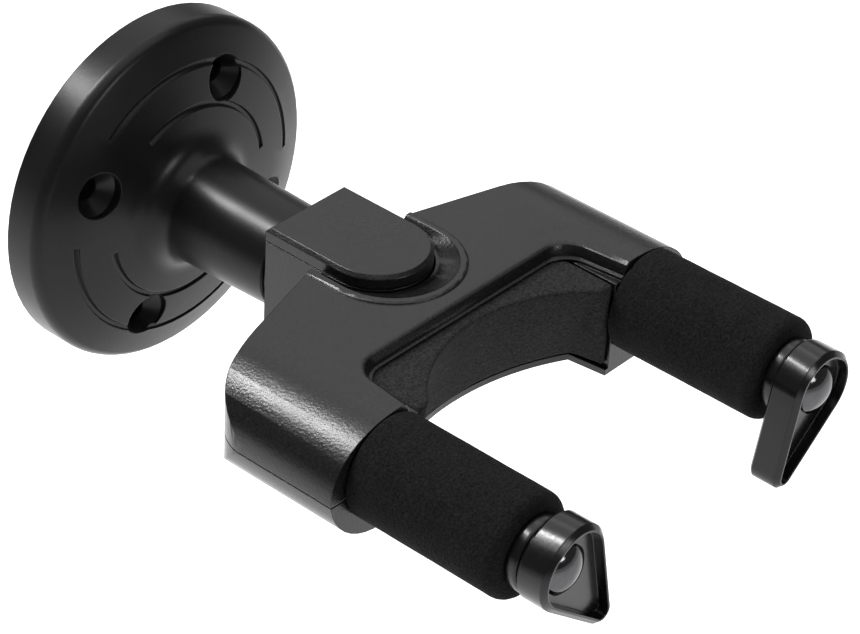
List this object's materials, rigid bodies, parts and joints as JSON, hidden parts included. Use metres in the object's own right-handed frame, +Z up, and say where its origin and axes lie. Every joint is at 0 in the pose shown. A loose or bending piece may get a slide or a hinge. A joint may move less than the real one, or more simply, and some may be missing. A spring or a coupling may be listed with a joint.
{
  "type": "wall guitar hanger",
  "caption": "Black wall hanger for a guitar: round plate, neck, swivelling yoke, padded arms and latches that swing shut when the yoke is pressed down.",
  "frame": {"origin": "centre of the wall plate's back face, against the wall", "axes": "+Y points into the wall, so the neck and arms reach towards -Y; +Z is up; +X is to the right for a person who faces the wall"},
  "size_m": [0.1094, 0.1546, 0.08],
  "materials": {
    "cast_black": "satin black painted casting",
    "moulded_black": "semi-gloss black, finely textured",
    "gloss_black": "glossy black",
    "foam_black": "matte black cellular rubber foam with a fine grain",
    "black_steel": "glossy black plated steel",
    "zinc_steel": "bright zinc plated steel",
    "natural_nylon": "natural nylon"
  },
  "bodies": {
    "wall_side": {"wall_plate": "cast_black", "swivel_washer": "moulded_black"},
    "swivel_head": {"guide_block": "moulded_black", "block_cap": "moulded_black", "lift_bar": "zinc_steel", "lift_bar_screw": "zinc_steel", "swivel_bolt": "zinc_steel", "bolt_washer": "zinc_steel", "lock_nut": "zinc_steel", "left_return_spring": "zinc_steel", "right_return_spring": "zinc_steel"},
    "yoke": {"yoke_cover_top": "moulded_black", "yoke_cover_bottom": "moulded_black", "front_pad": "foam_black", "cover_screw_rear_left": "zinc_steel", "cover_screw_rear_right": "zinc_steel", "cover_screw_front_left": "zinc_steel", "cover_screw_front_right": "zinc_steel", "left_arm_tube": "zinc_steel", "left_foam_sleeve": "foam_black", "left_front_bush": "gloss_black", "left_rear_bush": "natural_nylon", "right_arm_tube": "zinc_steel", "right_foam_sleeve": "foam_black", "right_front_bush": "gloss_black", "right_rear_bush": "natural_nylon"},
    "left_latch": {"left_latch_shaft": "black_steel", "left_crank": "black_steel", "left_latch_lever": "gloss_black", "left_latch_screw": "black_steel"},
    "right_latch": {"right_latch_shaft": "black_steel", "right_crank": "black_steel", "right_latch_lever": "gloss_black", "right_latch_screw": "black_steel"}
  },
  "joints": [
    {"name": "yoke_swivel", "type": "hinge", "parent": "wall_side", "child": "swivel_head", "pos_m": [0, -0.0482, 0], "axis": [0, 1, 0], "range_deg": [-45, 45]},
    {"name": "yoke_drop", "type": "slide", "parent": "swivel_head", "child": "yoke", "axis": [0, 0, -1], "range_m": [0, 0.008], "stiffness_N_per_m": 600, "springref_m": -0.008, "deforming": ["left_return_spring", "right_return_spring"]},
    {"name": "left_latch_turn", "type": "hinge", "parent": "yoke", "child": "left_latch", "pos_m": [-0.0397, -0.147, 0.001], "axis": [0, -1, 0], "range_deg": [0, 66]},
    {"name": "right_latch_turn", "type": "hinge", "parent": "yoke", "child": "right_latch", "pos_m": [0.0397, -0.147, 0.001], "axis": [0, 1, 0], "range_deg": [0, 66]}
  ],
  "couplings": [
    {"joint": "left_latch_turn", "follows": "yoke_drop", "rad_per_m": 143.98},
    {"joint": "right_latch_turn", "follows": "yoke_drop", "rad_per_m": 143.98}
  ]
}
